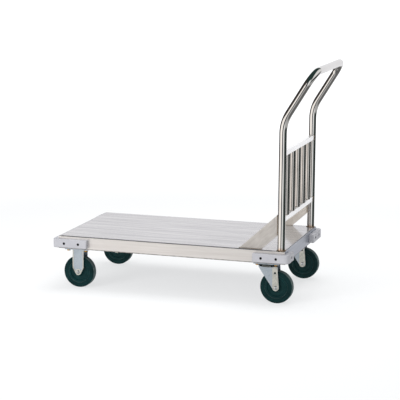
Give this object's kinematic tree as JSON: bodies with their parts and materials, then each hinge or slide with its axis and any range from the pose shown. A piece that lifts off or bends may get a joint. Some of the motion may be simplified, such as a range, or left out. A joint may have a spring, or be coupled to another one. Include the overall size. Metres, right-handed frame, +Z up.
{
  "type": "platform cart",
  "caption": "Flat stainless platform cart with a leaning tube push handle, a barred grille, side braces, corner bumpers, and rigid and swivel castors.",
  "frame": {"origin": "on the floor, under the middle of the whole cart's bounding box", "axes": "+X along the deck towards the push handle, +Y across the deck, +Z up"},
  "size_m": [1.0322, 0.543, 0.8863],
  "materials": {
    "sheet": "brushed stainless sheet, grain along the deck",
    "frame": "satin stainless rails",
    "bumper": "grey moulded plastic",
    "screw": "dull steel screws",
    "tube": "mirror polished stainless tube",
    "grille": "polished stainless tube",
    "brace": "stainless flat bar",
    "bolt": "yellow zinc plated steel",
    "zinc": "blue zinc plated pressed steel",
    "steel": "zinc plated turned steel",
    "core": "dark green-black moulded plastic",
    "tyre": "dark solid rubber"
  },
  "bodies": {
    "cart": {"deck_sheet": "sheet", "side_rail_left": "frame", "side_rail_right": "frame", "end_rail_front": "frame", "end_rail_rear": "frame", "castor_bridge_front": "frame", "castor_bridge_rear": "frame", "cross_member_front": "frame", "cross_member_rear": "frame", "bumper_front_left": "bumper", "bumper_front_right": "bumper", "bumper_rear_left": "bumper", "bumper_rear_right": "bumper", "bumper_screws": "screw", "handle_tube": "tube", "grille_top_rail": "grille", "grille_bottom_rail": "grille", "grille_bar_1": "grille", "grille_bar_2": "grille", "grille_bar_3": "grille", "grille_bar_4": "grille", "grille_bar_5": "grille", "brace_left": "brace", "brace_right": "brace", "castor_bolts": "bolt", "castor_nuts": "bolt", "rigid_fork_left": "zinc", "rigid_fork_right": "zinc", "rigid_sleeve_left": "steel", "rigid_sleeve_right": "steel", "rigid_axle_left": "steel", "rigid_axle_right": "steel", "rigid_nut_left": "steel", "rigid_nut_right": "steel", "swivel_plate_left": "zinc", "swivel_plate_right": "zinc", "king_pin_left": "steel", "king_pin_right": "steel"},
    "rigid_wheel_left": {"rigid_core_left": "core", "rigid_tyre_left": "tyre"},
    "rigid_wheel_right": {"rigid_core_right": "core", "rigid_tyre_right": "tyre"},
    "swivel_left": {"ball_ring_left": "steel", "swivel_fork_left": "zinc", "swivel_sleeve_left": "steel", "swivel_axle_left": "steel", "swivel_nut_left": "steel"},
    "swivel_right": {"ball_ring_right": "steel", "swivel_fork_right": "zinc", "swivel_sleeve_right": "steel", "swivel_axle_right": "steel", "swivel_nut_right": "steel"},
    "swivel_wheel_left": {"swivel_core_left": "core", "swivel_tyre_left": "tyre"},
    "swivel_wheel_right": {"swivel_core_right": "core", "swivel_tyre_right": "tyre"}
  },
  "joints": [
    {"name": "rigid_spin_left", "type": "hinge", "parent": "cart", "child": "rigid_wheel_left", "pos_m": [-0.42414, -0.2115, 0.0625], "axis": [0, 1, 0], "continuous": true},
    {"name": "rigid_spin_right", "type": "hinge", "parent": "cart", "child": "rigid_wheel_right", "pos_m": [-0.42414, 0.2115, 0.0625], "axis": [0, 1, 0], "continuous": true},
    {"name": "swivel_turn_left", "type": "hinge", "parent": "cart", "child": "swivel_left", "pos_m": [0.33386, -0.2115, 0.152], "axis": [0, 0, 1], "continuous": true},
    {"name": "swivel_spin_left", "type": "hinge", "parent": "swivel_left", "child": "swivel_wheel_left", "pos_m": [0.36786, -0.2115, 0.0625], "axis": [0, 1, 0], "continuous": true},
    {"name": "swivel_turn_right", "type": "hinge", "parent": "cart", "child": "swivel_right", "pos_m": [0.33386, 0.2115, 0.152], "axis": [0, 0, 1], "continuous": true},
    {"name": "swivel_spin_right", "type": "hinge", "parent": "swivel_right", "child": "swivel_wheel_right", "pos_m": [0.36786, 0.2115, 0.0625], "axis": [0, 1, 0], "continuous": true}
  ]
}
